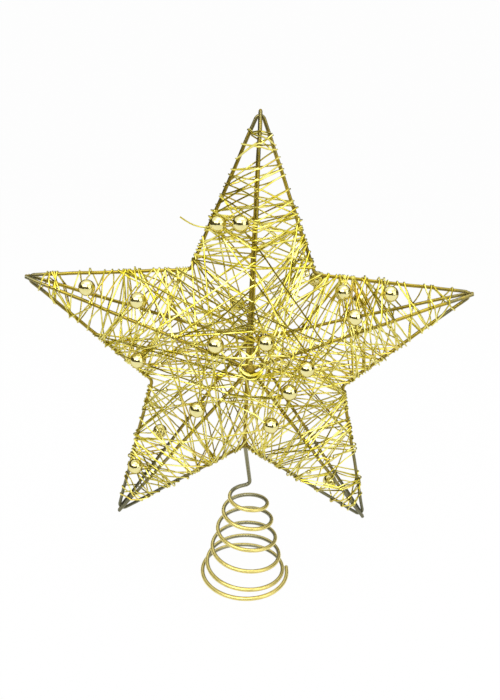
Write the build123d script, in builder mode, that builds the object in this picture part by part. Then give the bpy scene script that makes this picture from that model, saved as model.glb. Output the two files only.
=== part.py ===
"""Christmas tree topper: a star of bent wire, wound with fine beaded wire, on a conical spring."""
import math
import os

import numpy
from build123d import *

os.makedirs("parts", exist_ok=True)

# Star frame: one bent outline wire, with a ridge rod from each tip to a front and a back apex
arm_names = ["top", "right", "lower_right", "lower_left", "left"]
tip_radius = 130.0
notch_radius = 59.4
apex_height = 26.6
frame_wire_diameter = 2.0
frame_wire_sides = 12
tip_bend_radius = 2.4
notch_bend_radius = 4.0
ridge_overhang = 1.8
touch_gap = 0.05
middle_share = 0.5

# Welds that hold the frame together
apex_weld_diameter = 6.6
stem_weld_diameter = 5.4
tip_weld_diameter = 2.0
weld_sides = 8
weld_band_count = 4

# Spring and stem, bent from one thicker wire
spring_wire_diameter = 2.5
spring_sides = 8
spring_samples = 400
spring_turns = 5.7
spring_flat_turns = 0.75
spring_top_radius = 10.2
spring_base_radius = 28.5
spring_height = 57.0
spring_start_angle = 110.0
spring_taper_power = 0.9
spring_ease_share = 0.3
spring_direction_share = 0.001
base_cut_share = 0.1
stem_rise = 34.0
stem_lean = 3.0
stem_foot_bend_radius = 2.6
stem_foot_run_share = 1.2
stem_notch_bend_radius = 5.0

# Fine wire wound round the frame
winding_wire_diameter = 0.6
winding_sides = 3
gap_skip_diameters = 4
winding_seat_gap = 0.1
strand_gap = 0.6
arm_loops = 10
centre_loops = 7
tail_length = 1.2
free_end_length = 15.0

# Where the windings start and end: shares of an outline side from its tip to its notch,
# and of a ridge from its tip to its apex
arm_outline_shares = (0.16, 0.73)
arm_ridge_shares = (0.12, 0.60)
centre_outline_shares = (0.77, 0.965)
centre_near_ridge_shares = (0.60, 0.745)
centre_far_ridge_shares = (0.81, 0.92)
skew_share = 0.055

# Beads threaded on the wound wire
bead_diameter = 9.0
bead_sides = 12
bead_band_count = 4
small_bead_diameter = 3.0
small_bead_sides = 8
small_bead_band_count = 2
bore_sides = 4
ball_end_share = 0.28
bead_bore_clearance = 0.15
bead_seat_gap = 0.3
bead_end_straight = 0.4
bead_ramp_share = 0.8

# Places of the beads: loop of the winding, strand of that loop, and share of the way along the strand
bead_shares = {
    "top_arm_winding": [(8, "front_left", 0.75), (9, "front_left", 0.30)],
    "right_arm_winding": [
        (7, "front_left", 0.40),
        (10, "front_left", 0.70),
        (7, "back_left", 0.25),
        (9, "back_right", 0.70),
    ],
    "lower_right_arm_winding": [(2, "back_right", 0.65)],
    "lower_left_arm_winding": [(5, "front_right", 0.55), (7, "back_right", 0.72)],
    "left_arm_winding": [(4, "front_right", 0.40), (9, "front_right", 0.40)],
    "centre_winding_1": [
        (0, "front_middle", 0.80),
        (2, "front_middle", 0.45),
        (2, "front_start", 0.30),
        (6, "back_start", 0.80),
    ],
    "centre_winding_2": [(0, "front_middle", 0.40)],
    "centre_winding_3": [(0, "front_middle", 0.35)],
    "centre_winding_4": [(2, "front_start", 0.35), (5, "front_middle", 0.50), (0, "back_middle", 0.15)],
    "centre_winding_5": [(6, "front_middle", 0.65)],
}
small_bead_shares = {
    "right_arm_winding": [(10, "front_right", 0.30), (10, "front_right", 0.70)],
    "lower_right_arm_winding": [
        (7, "front_left", 0.75),
        (7, "front_right", 0.40),
        (8, "front_right", 0.15),
    ],
    "centre_winding_2": [(0, "front_end", 0.85), (5, "front_end", 0.75)],
    "centre_winding_3": [(3, "front_end", 0.85)],
    "centre_winding_4": [(1, "front_end", 0.85), (5, "front_end", 0.85), (6, "front_start", 0.45)],
    "centre_winding_5": [(0, "front_end", 0.50)],
}

arm_angle = 360.0 / len(arm_names)
frame_wire_radius = frame_wire_diameter / 2
spring_wire_radius = spring_wire_diameter / 2
winding_wire_radius = winding_wire_diameter / 2
pass_step = winding_wire_diameter + strand_gap
base_cut = base_cut_share * spring_wire_diameter
spring_base_z = spring_wire_radius - base_cut
spring_top_z = spring_base_z + spring_height
star_centre = Vector(-stem_lean, 0, spring_top_z + stem_rise + notch_radius)


def star_direction(turns):
    """Unit vector in the star's plane, clockwise from the top arm, in arms."""
    angle = math.radians(turns * arm_angle)
    return Vector(math.sin(angle), 0, math.cos(angle))


def between(start, end, share):
    """Point at a share of the way from start to end."""
    return start + (end - start) * share


# The outline's corners lie outside its bends
half_arm_angle = math.atan2(
    notch_radius * math.sin(math.radians(arm_angle / 2)),
    tip_radius - notch_radius * math.cos(math.radians(arm_angle / 2)),
)
tip_corner_radius = tip_radius + tip_bend_radius * (1 / math.sin(half_arm_angle) - 1)
ridge_tip_offset = frame_wire_diameter + touch_gap


def tip_corner(arm):
    return star_centre + star_direction(arm) * tip_corner_radius


def notch_corner(arm):
    """Corner between an arm and the next one clockwise."""
    return star_centre + star_direction(arm + 0.5) * notch_radius


def ridge_tip(arm, face):
    """Outer end of a ridge rod, on the front (face -1) or the back (face 1) of the outline."""
    outward = star_direction(arm) * (tip_radius + ridge_overhang)
    return star_centre + outward + Vector(0, face * ridge_tip_offset, 0)


def apex(face):
    return star_centre + Vector(0, face * apex_height, 0)


def wire_ends(kind, arm):
    """Tip end and inner end of a straight stretch of the frame."""
    ends = {
        "left": (tip_corner(arm), notch_corner(arm - 1)),
        "right": (tip_corner(arm), notch_corner(arm)),
        "front": (ridge_tip(arm, -1), apex(-1)),
        "back": (ridge_tip(arm, 1), apex(1)),
    }
    return ends[kind]


def save(part, name):
    part.label = name
    export_step(part, f"parts/{name}.step")


# Star outline: one wire, bent at five tips and five notches
outline_corners = []
outline_radii = []
for arm in range(len(arm_names)):
    outline_corners += [tip_corner(arm), notch_corner(arm)]
    outline_radii += [tip_bend_radius, notch_bend_radius]

# The wire's butted ends meet in the middle of the top arm's left side
seam_middle = between(notch_corner(-1), tip_corner(0), middle_share)
seam_direction = (tip_corner(0) - notch_corner(-1)).normalized()
seam_start = seam_middle + seam_direction * (touch_gap / 2)
seam_end = seam_middle - seam_direction * (touch_gap / 2)
with BuildPart() as star_outline:
    with BuildLine() as outline_path:
        FilletPolyline(seam_start, *outline_corners, seam_end, radius=outline_radii)
    with BuildSketch(Plane(origin=seam_start, z_dir=seam_direction)):
        RegularPolygon(radius=frame_wire_radius, side_count=frame_wire_sides)
    sweep()
save(star_outline.part, "star_outline")


def straight_rod(start, end):
    with BuildPart() as rod:
        with BuildSketch(Plane(origin=start, z_dir=end - start)):
            RegularPolygon(radius=frame_wire_radius, side_count=frame_wire_sides)
        extrude(amount=(end - start).length)
    return rod.part


def banded_ball(middle, along, side, diameter, side_count, band_count):
    """A ball of flat-sided bands about an axis, with small flat ends."""
    radius = diameter / 2
    end_angle = math.asin(ball_end_share)
    with BuildPart() as ball:
        for band in range(band_count + 1):
            angle = end_angle + (math.pi - 2 * end_angle) * band / band_count
            band_origin = middle - along * (radius * math.cos(angle))
            with BuildSketch(Plane(origin=band_origin, x_dir=side, z_dir=along)):
                RegularPolygon(radius=radius * math.sin(angle), side_count=side_count)
        loft(ruled=True)
    return ball.part


def weld_ball(middle, diameter):
    return banded_ball(middle, Vector(0, 1, 0), Vector(1, 0, 0), diameter, weld_sides, weld_band_count)


# Ridge rods stop short of the apex, where the weld joins them
ridge_stop = frame_wire_radius / math.sin(math.radians(arm_angle / 2)) + touch_gap
ridges = {}
for face, face_name in [(-1, "front"), (1, "back")]:
    ridges[face] = []
    for arm, arm_name in enumerate(arm_names):
        outer_end, inner_end = wire_ends(face_name, arm)
        inner_end -= (inner_end - outer_end).normalized() * ridge_stop
        rod = straight_rod(outer_end, inner_end)
        ridges[face].append(rod)
        save(rod, f"{face_name}_ridge_{arm_name}")


def least_gap(route, diameter):
    """Smallest gap between stretches of one wire, measured on points along it."""
    spacing = diameter / 2
    samples = []
    for start, end in zip(route, route[1:]):
        count = max(2, math.ceil((end - start).length / spacing))
        samples += [tuple(between(start, end, step / count)) for step in range(count)]
    points = numpy.array(samples)
    skip = round(gap_skip_diameters * diameter / spacing)
    distance = math.inf
    for index in range(len(points) - skip):
        away = numpy.linalg.norm(points[index + skip :] - points[index], axis=1)
        distance = min(distance, float(away.min()))
    return distance - diameter


# Conical spring: quarter turns of two arcs each, flat at the base
spring_rising_turns = spring_turns - spring_flat_turns


def spring_point(turn):
    angle = math.radians(spring_start_angle + 360.0 * turn)
    taper = max(turn / spring_turns, 0.0) ** spring_taper_power
    radius = spring_top_radius + (spring_base_radius - spring_top_radius) * taper
    rise = min(turn / spring_rising_turns, 1.0)
    eased = (1 - math.cos(math.pi * rise)) / 2
    drop = (1 - spring_ease_share) * rise + spring_ease_share * eased
    return Vector(radius * math.cos(angle), radius * math.sin(angle), spring_top_z - spring_height * drop)


def spring_direction(turn):
    before = max(turn - spring_direction_share, 0.0)
    after = min(turn + spring_direction_share, spring_turns)
    return (spring_point(after) - spring_point(before)).normalized()


def biarc_middle(start, start_direction, end, end_direction):
    """Joint of two tangent arcs, and the direction there."""
    chord = end - start
    both = start_direction + end_direction
    square = 2 * (start_direction.dot(end_direction) - 1)
    linear = -2 * chord.dot(both)
    reach = (-linear - math.sqrt(linear**2 - 4 * square * chord.dot(chord))) / (2 * square)
    first = start + start_direction * abs(reach)
    second = end - end_direction * abs(reach)
    return between(first, second, middle_share), (second - first).normalized()


quarter_turns = round(spring_turns * 4)
spring_stations = [spring_turns * step / quarter_turns for step in range(quarter_turns + 1)]
spring_start = spring_point(0)
spring_end = spring_point(spring_turns)
spring_head = spring_start - spring_direction(0) * spring_wire_diameter
spring_tail = spring_end + spring_direction(spring_turns) * spring_wire_diameter
with BuildPart() as spring:
    with BuildLine() as spring_path:
        Line(spring_head, spring_start)
        for begin, finish in zip(spring_stations, spring_stations[1:]):
            middle, middle_direction = biarc_middle(
                spring_point(begin), spring_direction(begin), spring_point(finish), spring_direction(finish)
            )
            TangentArc(spring_point(begin), middle, tangent=spring_direction(begin))
            TangentArc(middle, spring_point(finish), tangent=middle_direction)
        Line(spring_end, spring_tail)
    with BuildSketch(Plane(origin=spring_head, z_dir=spring_start - spring_head)):
        RegularPolygon(radius=spring_wire_radius, side_count=spring_sides)
    sweep()
    split(bisect_by=Plane.XY, keep=Keep.TOP)
save(spring.part, "spring")
spring_points = [spring_point(spring_turns * step / spring_samples) for step in range(spring_samples + 1)]
print(f"spring: least gap to itself {least_gap(spring_points, spring_wire_diameter):.2f} mm")

# Stem: the spring's wire carried up behind the lower notch to the back apex
stem_side = frame_wire_radius + spring_wire_radius + touch_gap
stem_start = spring_head - spring_direction(0) * touch_gap
stem_foot = stem_start - spring_direction(0) * (stem_foot_bend_radius * stem_foot_run_share)
lower_notch = notch_corner(2)
stem_knee = lower_notch + Vector(0, stem_side, 0)
apex_weld_radius = apex_weld_diameter / 2
stem_top_target = apex(1) + Vector(0, -spring_wire_diameter, 0)
stem_run = (stem_top_target - stem_knee).normalized()
stem_top = stem_top_target - stem_run * (apex_weld_radius - frame_wire_radius)
with BuildPart() as stem:
    with BuildLine() as stem_path:
        FilletPolyline(
            stem_start, stem_foot, stem_knee, stem_top, radius=[stem_foot_bend_radius, stem_notch_bend_radius]
        )
    with BuildSketch(Plane(origin=stem_start, z_dir=stem_foot - stem_start)):
        RegularPolygon(radius=spring_wire_radius, side_count=spring_sides)
    sweep()
save(stem.part, "stem")

# Weld beads, each run round the rods that it joins
with BuildPart() as front_weld:
    add(weld_ball(apex(-1), apex_weld_diameter))
    for rod in ridges[-1]:
        add(rod, mode=Mode.SUBTRACT)
save(front_weld.part, "front_apex_weld")

with BuildPart() as back_weld:
    add(weld_ball(apex(1), apex_weld_diameter))
    for rod in ridges[1]:
        add(rod, mode=Mode.SUBTRACT)
    add(stem.part, mode=Mode.SUBTRACT)
save(back_weld.part, "back_apex_weld")

with BuildPart() as stem_weld:
    add(weld_ball(between(lower_notch, stem_knee, middle_share), stem_weld_diameter))
    add(star_outline.part, mode=Mode.SUBTRACT)
    add(stem.part, mode=Mode.SUBTRACT)
save(stem_weld.part, "stem_weld")

tip_weld_reach = tip_radius + frame_wire_radius + tip_weld_diameter / 2 + touch_gap
with BuildPart() as tip_welds:
    for arm in range(len(arm_names)):
        add(weld_ball(star_centre + star_direction(arm) * tip_weld_reach, tip_weld_diameter))
save(tip_welds.part, "tip_welds")


# Fine wire: a route visits frame wires in turn and wraps round each of them
def visit_point(visit):
    """Where the route meets the middle of a frame wire, before the wire's height over it counts."""
    kind, arm, share, _ = visit
    return between(*wire_ends(kind, arm), share)


def flat_to(vector, axis):
    """The part of a vector that is square to an axis, as a unit vector."""
    return (vector - axis * vector.dot(axis)).normalized()


def wrap(visits, index):
    """Corners of the route round one frame wire, and the outward direction there."""
    kind, arm, share, height = visits[index]
    here = visit_point(visits[index])
    outer_end, inner_end = wire_ends(kind, arm)
    axis = (inner_end - outer_end).normalized()
    arriving = flat_to(here - visit_point(visits[index - 1]), axis)
    leaving = flat_to(visit_point(visits[index + 1]) - here, axis)
    outward = (arriving - leaving).normalized()
    travel = (arriving + leaving).normalized()
    turn = math.acos(max(-1.0, min(1.0, arriving.dot(leaving))))
    reach = frame_wire_radius + winding_seat_gap + winding_wire_radius + height
    if kind in ("left", "right"):
        slip = reach * math.tan(turn / 4)
        return [here + outward * reach - travel * slip, here + outward * reach + travel * slip], outward
    return [here + outward * (reach / math.cos(turn / 2))], outward


def bead_bump(start, end, share, lift_direction, diameter):
    """Corners that carry the wire up through a bead lying on the net, with the bead's place and direction."""
    along = (end - start).normalized()
    lift = (lift_direction - along * lift_direction.dot(along)).normalized()
    foot_middle = between(start, end, share)
    height = winding_wire_radius + bead_seat_gap + diameter / 2
    half = diameter / 2 + bead_end_straight
    spread = half + height * bead_ramp_share
    first_spread = min(spread, (foot_middle - start).length * bead_ramp_share)
    last_spread = min(spread, (end - foot_middle).length * bead_ramp_share)
    middle = foot_middle + lift * height
    corners = [
        foot_middle - along * first_spread,
        middle - along * half,
        middle + along * half,
        foot_middle + along * last_spread,
    ]
    return corners, (middle, along, lift, diameter)


def winding_route(visits, beads, start_tail, end_tail):
    """Corner points of a wound wire. The first and last visits only steer the wire's ends."""
    wraps = [wrap(visits, index) for index in range(1, len(visits) - 1)]
    first_corners, first_outward = wraps[0]
    last_corners, last_outward = wraps[-1]
    route = [first_corners[0] + first_outward * start_tail]
    places = []
    for index, (corners, outward) in enumerate(wraps):
        route += corners
        if index + 1 == len(wraps):
            break
        next_corners, next_outward = wraps[index + 1]
        for share, diameter in beads.get(index, []):
            bump, place = bead_bump(
                corners[-1], next_corners[0], share, outward + next_outward, diameter
            )
            route += bump
            places.append(place)
    route.append(last_corners[-1] + last_outward * end_tail)
    return route, places


def wound_wire(route):
    with BuildPart() as winding:
        with BuildLine() as winding_path:
            Polyline(*route)
        with BuildSketch(Plane(origin=route[0], z_dir=route[1] - route[0])):
            RegularPolygon(radius=winding_wire_radius, side_count=winding_sides)
        sweep(transition=Transition.RIGHT)
    return winding.part


def bead_solid(middle, along, side, diameter, side_count, band_count):
    """A ball with a bore for the wire."""
    with BuildPart() as bead:
        add(banded_ball(middle, along, side, diameter, side_count, band_count))
        with BuildSketch(Plane(origin=middle - along * diameter, x_dir=side, z_dir=along)):
            RegularPolygon(
                radius=winding_wire_radius + bead_bore_clearance, side_count=bore_sides, major_radius=False
            )
        extrude(amount=2 * diameter, mode=Mode.SUBTRACT)
    return bead.part


def arm_visits(arm):
    """Two passes round one arm, from its base out to its tip and back over the first."""
    order = ["left", "front", "right", "back"]
    steps = arm_loops * len(order)
    turning_steps = len(order) // 2
    visits = []
    for step in range(-1, 2 * steps + turning_steps + 2):
        kind = order[step % len(order)]
        outward_pass = step <= steps
        progress = 1 - step / steps if outward_pass else (step - turning_steps) / steps - 1
        progress = max(0.0, min(1.0, progress))
        low, high = arm_outline_shares if kind in ("left", "right") else arm_ridge_shares
        wave = math.sin(math.pi * progress) * math.sin(2 * math.pi * progress + arm)
        lean = skew_share * wave * (1 if kind in ("left", "back") else -1) * (1 if outward_pass else -1)
        visits.append((kind, arm, low + (high - low) * progress + lean, 0.0 if outward_pass else pass_step))
    return visits


def centre_visits(first_notch):
    """Loops round the bases of two neighbouring arms, from one notch to the next but one."""
    near, far = (first_notch + 1) % len(arm_names), (first_notch + 2) % len(arm_names)
    order = [
        ("left", near, centre_outline_shares),
        ("front", near, centre_near_ridge_shares),
        ("front", far, centre_far_ridge_shares),
        ("right", far, centre_outline_shares),
        ("back", far, centre_far_ridge_shares),
        ("back", near, centre_near_ridge_shares),
    ]
    visits = []
    for step in range(-1, centre_loops * len(order) + 2):
        kind, arm, (low, high) = order[step % len(order)]
        progress = max(0.0, min(1.0, step / (centre_loops * len(order))))
        visits.append((kind, arm, low + (high - low) * progress, 0.0))
    return visits


arm_strands = ["front_left", "front_right", "back_right", "back_left"]
centre_strands = ["front_start", "front_middle", "front_end", "back_end", "back_middle", "back_start"]


def beads_by_step(name, strands, first_step):
    """Beads of one winding, listed by the number of frame wires that it passes before them."""
    beads = {}
    for shares, diameter in [(bead_shares, bead_diameter), (small_bead_shares, small_bead_diameter)]:
        for loop, strand, share in shares.get(name, []):
            step = first_step + loop * len(strands) + strands.index(strand)
            beads[step] = sorted(beads.get(step, []) + [(share, diameter)])
    return beads


windings = []
for arm, arm_name in enumerate(arm_names):
    name = f"{arm_name}_arm_winding"
    beads = beads_by_step(name, arm_strands, arm_loops * len(arm_strands))
    start_tail = free_end_length if arm == 0 else tail_length
    windings.append((name, *winding_route(arm_visits(arm), beads, start_tail, tail_length)))
for first_notch in range(len(arm_names)):
    name = f"centre_winding_{first_notch + 1}"
    beads = beads_by_step(name, centre_strands, 0)
    windings.append((name, *winding_route(centre_visits(first_notch), beads, tail_length, tail_length)))

small_beads = []
bead_count = 0
for name, route, places in windings:
    print(f"{name}: least gap to itself {least_gap(route, winding_wire_diameter):.2f} mm")
    save(wound_wire(route), name)
    for middle, along, side, diameter in places:
        if diameter == bead_diameter:
            bead_count += 1
            bead = bead_solid(middle, along, side, diameter, bead_sides, bead_band_count)
            save(bead, f"bead_{bead_count:02d}")
        else:
            bead = bead_solid(middle, along, side, diameter, small_bead_sides, small_bead_band_count)
            small_beads.append(bead)
with BuildPart() as small_bead_group:
    for bead in small_beads:
        add(bead)
save(small_bead_group.part, "small_beads")
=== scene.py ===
"""Christmas tree topper star: frame wires, a net of fine wire, threaded beads and a conical spring."""
import math
import random

import bpy
from bpy.props import FloatProperty, FloatVectorProperty, IntProperty, PointerProperty
from mathutils import Matrix, Vector


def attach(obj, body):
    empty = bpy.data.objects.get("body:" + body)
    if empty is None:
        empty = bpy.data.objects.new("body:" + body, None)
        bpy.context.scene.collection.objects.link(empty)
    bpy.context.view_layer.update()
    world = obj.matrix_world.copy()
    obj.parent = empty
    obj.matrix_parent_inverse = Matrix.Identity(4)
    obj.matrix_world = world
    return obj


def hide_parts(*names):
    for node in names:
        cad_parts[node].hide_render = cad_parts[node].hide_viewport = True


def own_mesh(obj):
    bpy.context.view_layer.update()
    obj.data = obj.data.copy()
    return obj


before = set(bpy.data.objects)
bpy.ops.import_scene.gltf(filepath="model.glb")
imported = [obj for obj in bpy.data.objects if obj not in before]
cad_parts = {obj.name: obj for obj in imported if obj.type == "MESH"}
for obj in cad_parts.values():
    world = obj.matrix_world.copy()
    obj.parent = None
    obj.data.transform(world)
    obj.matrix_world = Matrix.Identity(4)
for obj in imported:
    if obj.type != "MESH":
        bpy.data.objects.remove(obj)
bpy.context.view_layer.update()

bl_info = {
    "name": "Christmas Tree Topper Star",
    "version": (1, 0, 0),
    "blender": (4, 5, 0),
    "location": "View3D > Sidebar > Topper Star",
    "description": "Dresses the wire star, its wound net, its beads and its spring over the packed frame",
    "category": "Object",
}

ARM_NAMES = ["top", "right", "lower_right", "lower_left", "left"]
ARM_COUNT = len(ARM_NAMES)
FACES = {"front": -1, "back": 1}
# The notch behind which the stem passes, and the arms beside it.
LOWER_NOTCH = 2
LOWER_ARMS = (2, 3)

# Fineness of the meshes: steps of a bend, sides of a wire, and the distance between its points.
BEND_STEPS = 10
SPRING_STEPS = 560
ROD_SIDES = 16
FINE_SIDES = 6
ROD_STEP = 0.004
STEM_STEP = 0.003
WRAP_STEPS = {"left": 4, "right": 4, "front": 2, "back": 2}
WELD_GRAIN = 0.00022
TIP_GRAIN = 0.00018

# Starts of the random draws.
FRAME_SEED = 11
WELD_SEED = 5
BEAD_SEED = 3
SEED_STEP = 100
CENTRE_SEEDS = 50

# Stretch of an outline side, from tip to notch, that the free strands go to.
ARM_STRETCH = (0.12, 0.96)
CENTRE_STRETCH = (0.52, 0.965)
# How far up or down its arm a free strand may run, as a share of a side.
ARM_SLOPE = 0.3

WHITE = (1.0, 1.0, 1.0, 1.0)
LAMPS = {
    "key_lamp": {"place": (-0.45, -1.02, 1.02), "size": (1.4, 0.6), "power": 8.8},
    "fill_lamp": {"place": (0.95, -0.74, 0.58), "size": (0.9, 0.9), "power": 4.4},
    "top_lamp": {"place": (0.1, -0.2, 1.35), "size": (1.2, 0.8), "power": 5.4},
}


def length(name, description, default):
    return FloatProperty(name=name, description=description, default=default, unit="LENGTH", precision=5)


def share(name, description, default):
    return FloatProperty(name=name, description=description, default=default, subtype="FACTOR")


def number(name, description, default):
    return FloatProperty(name=name, description=description, default=default)


def amount(name, description, default):
    return IntProperty(name=name, description=description, default=default)


def colour(name, description, default):
    return FloatVectorProperty(
        name=name, description=description, default=default, subtype="COLOR", size=3, min=0.0, max=1.0
    )


class StarFrameSizes(bpy.types.PropertyGroup):
    """Bent and straight wires of the star."""

    tip_radius: length("Tip radius", "Star centre to the middle of the wire at a tip", 0.130)
    notch_radius: length("Notch radius", "Star centre to the corner between two arms", 0.0594)
    apex_height: length("Apex height", "Star plane to where the ridge rods meet", 0.0266)
    wire_diameter: length("Frame wire", "Diameter of the outline and the ridge rods", 0.0020)
    tip_bend: length("Tip bend", "Bend radius of the outline at a tip", 0.0024)
    notch_bend: length("Notch bend", "Bend radius of the outline at a notch", 0.0040)
    ridge_overhang: length("Ridge overhang", "How far a ridge rod stands past its tip", 0.0018)
    touch_gap: length("Touch gap", "Space left between wires that touch", 0.00005)
    waver: length("Waver", "How far a hand-bent wire leaves its line", 0.00016)


class SpringSizes(bpy.types.PropertyGroup):
    """Conical spring and the stem that carries the star."""

    wire_diameter: length("Spring wire", "Diameter of the spring and stem wire", 0.0025)
    turns: number("Turns", "Turns of the spring", 5.7)
    flat_turns: number("Flat turns", "Turns that lie flat at the base", 0.75)
    top_radius: length("Top radius", "Radius of the uppermost turn", 0.0102)
    base_radius: length("Base radius", "Radius of the lowest turn", 0.0285)
    height: length("Height", "Rise of the spring between wire middles", 0.0570)
    start_angle: FloatProperty(
        name="Start angle",
        description="Where the spring leaves the stem",
        default=math.radians(110),
        subtype="ANGLE",
    )
    taper_power: number("Taper power", "How soon the cone widens", 0.9)
    ease_share: share("Ease share", "How much the pitch closes at both ends", 0.3)
    base_cut_share: share("Base cut share", "Share of the wire ground flat underneath", 0.1)
    stem_rise: length("Stem rise", "Spring top to the lower notch", 0.0340)
    stem_lean: length("Stem lean", "How far the star stands to the left of the spring's axis", 0.0030)
    foot_bend: length("Foot bend", "Bend radius where the stem leaves the spring", 0.0026)
    foot_run_share: share("Foot run share", "Straight run before that bend, in bend radii", 1.2)
    notch_bend: length("Stem notch bend", "Bend radius of the stem behind the lower notch", 0.0050)
    travel: length("Travel", "How far the spring is pressed down", 0.035)


class NetSizes(bpy.types.PropertyGroup):
    """Fine wire wound over the frame."""

    wire_diameter: length("Fine wire", "Diameter of the wound wire", 0.0009)
    seat_gap: length("Rod seat", "How far the fine wire stands off the rod under it", -0.00018)
    pass_step: length("Pass step", "Height of a pass over the one below it", 0.0012)
    arm_loops: amount("Arm loops", "Loops of one even pass round an arm", 10)
    centre_loops: amount("Centre loops", "Loops of one even centre winding", 7)
    skew_share: share("Skew share", "How far the even loops lean", 0.055)
    arm_chords: amount("Arm chords", "Free strands over one arm, front and back", 34)
    centre_chords: amount("Centre chords", "Free strands of one centre winding", 28)
    offers: amount("Offers", "Ways looked at before a strand is pulled", 4)
    square: length("Square", "Squares of the star in which strands are counted", 0.0040)
    twin_chance: share("Twin chance", "How often a front strand is wound twice side by side", 0.25)
    twin_share: share("Twin share", "Distance between twin strands, as a share of an outline side", 0.014)
    least_slant: share("Least slant", "Cosine of the least angle between a strand and its rod", 0.91)
    lay: length("Lay", "How far free strands stand off the rods at most", 0.0003)
    crimp: length("Crimp", "How far a strand leaves a smooth line", 0.00007)
    slack: length("Slack", "How far a strand bows from a straight line", 0.0005)
    strand_step: length("Strand step", "Distance between the points of a strand", 0.0042)
    free_end: length("Free end", "Length of the loose wire end on the top arm", 0.0150)
    seed: amount("Seed", "Start of the loose winding", 7)


class BeadSizes(bpy.types.PropertyGroup):
    """Beads threaded on the fine wire."""

    diameter: length("Bead", "Diameter of a large bead", 0.0090)
    small_diameter: length("Small bead", "Diameter of a small bead", 0.0030)
    bore_radius: length("Bore radius", "Radius of the bore for the fine wire", 0.00055)
    seat_gap: length("Bead seat gap", "Space between a bead and the strand under it", 0.0003)
    end_straight: length("End straight", "Straight wire at each end of a bore", 0.0004)
    ramp_share: share("Ramp share", "Slope of the wire up to a bead", 0.8)


class Finishes(bpy.types.PropertyGroup):
    """Colours of the metals."""

    fine_gold: colour("Fine gold", "Bright fine wire", (0.92, 0.835, 0.21))
    deep_gold: colour("Deep gold", "Darker stretches of the fine wire", (0.56, 0.47, 0.015))
    amber: colour("Amber", "Warm stretches of the fine wire", (0.68, 0.46, 0.03))
    frame_gold: colour("Frame gold", "Lacquer of the frame wires", (0.47, 0.355, 0.04))
    frame_brown: colour("Frame brown", "Aged lacquer of the frame wires", (0.215, 0.165, 0.02))
    # Grey of the worn tips, also used for the greyer wire low on the star.
    pewter: colour("Pewter", "Worn wire at the tips and low on the star", (0.17, 0.165, 0.095))
    # Bare steel of the stem, also used as painted shade on the inner side of the spring's turns.
    steel_and_shade_grey: colour("Bare steel", "Stem and inside of the spring", (0.29, 0.28, 0.175))
    spring_gold: colour("Spring gold", "Lacquer of the spring", (0.86, 0.735, 0.25))
    bead_gold: colour("Bead gold", "Gilding of the beads", (0.87, 0.80, 0.38))
    bead_rim: colour("Bead rim", "Gilding of the beads at a glancing angle", (0.45, 0.36, 0.10))
    weld_brown: colour("Weld brown", "Heat-darkened weld metal", (0.24, 0.175, 0.03))


def star():
    return bpy.context.scene.topper_frame


def spring():
    return bpy.context.scene.topper_spring


def net():
    return bpy.context.scene.topper_net


def bead():
    return bpy.context.scene.topper_beads


def finish():
    return bpy.context.scene.topper_finish


def direction(turns):
    """Unit vector in the star's plane, clockwise from the top arm, in arms."""
    angle = turns * 2 * math.pi / ARM_COUNT
    return Vector((math.sin(angle), 0, math.cos(angle)))


def spring_base():
    return spring().wire_diameter * (0.5 - spring().base_cut_share)


def spring_top():
    return spring_base() + spring().height


def centre():
    return Vector((-spring().stem_lean, 0, spring_top() + spring().stem_rise + star().notch_radius))


def tip_corner(arm):
    half_turn = math.pi / ARM_COUNT
    half_arm = math.atan2(
        star().notch_radius * math.sin(half_turn),
        star().tip_radius - star().notch_radius * math.cos(half_turn),
    )
    reach = star().tip_radius + star().tip_bend * (1 / math.sin(half_arm) - 1)
    return centre() + direction(arm) * reach


def notch_corner(arm):
    return centre() + direction(arm + 0.5) * star().notch_radius


def apex(face):
    return centre() + Vector((0, FACES[face] * star().apex_height, 0))


def ridge_tip(arm, face):
    side = FACES[face] * (star().wire_diameter + star().touch_gap)
    return centre() + direction(arm) * (star().tip_radius + star().ridge_overhang) + Vector((0, side, 0))


def wire_ends(kind, arm):
    """Tip end and inner end of a straight stretch of the frame."""
    if kind in FACES:
        return ridge_tip(arm, kind), apex(kind)
    return tip_corner(arm), notch_corner(arm - 1 if kind == "left" else arm)


def rounded(corners, radii, closed=False):
    """Points of a bent wire: straight runs with an arc at each inner corner."""
    count = len(corners)
    points = []
    for index, corner in enumerate(corners):
        if not closed and index in (0, count - 1):
            points.append(corner.copy())
            continue
        arriving = (corner - corners[index - 1]).normalized()
        leaving = (corners[(index + 1) % count] - corner).normalized()
        turn = arriving.angle(leaving)
        radius = radii[index % len(radii)]
        setback = radius * math.tan(turn / 2)
        inward = (leaving - arriving).normalized()
        middle = corner + inward * (radius / math.cos(turn / 2))
        axis = arriving.cross(leaving).normalized()
        start = corner - arriving * setback - middle
        for step in range(BEND_STEPS + 1):
            points.append(middle + Matrix.Rotation(turn * step / BEND_STEPS, 3, axis) @ start)
    return points


def divided(points, step, closed=False):
    """The same line with points no further apart than a step."""
    line = []
    ends = points[1:] + points[:1] if closed else points[1:]
    for start, end in zip(points, ends):
        count = max(1, math.ceil((end - start).length / step))
        line += [start.lerp(end, part / count) for part in range(count)]
    return line if closed else line + [points[-1]]


def wavered(points, chance):
    """The line of a wire bent by hand: slow small departures, none at its ends."""
    slow, quick, quick_share = 130, 310, 0.6
    reach = star().waver / (1 + quick_share)
    phases = [chance.uniform(0, 2 * math.pi) for _ in range(6)]
    line = []
    travelled = 0.0
    for index, point in enumerate(points):
        if index:
            travelled += (point - points[index - 1]).length
        shift = []
        for axis in range(3):
            bend = math.sin(travelled * slow + phases[axis])
            ripple = math.sin(travelled * quick + phases[axis + 3])
            shift.append(bend + quick_share * ripple)
        line.append(point + Vector(shift) * reach)
    line[0], line[-1] = points[0].copy(), points[-1].copy()
    return line


def take(*pieces):
    """Leaves only these objects selected, with the first one active."""
    bpy.ops.object.select_all(action="DESELECT")
    for piece in pieces:
        piece.select_set(True)
    bpy.context.view_layer.objects.active = pieces[0]


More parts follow.
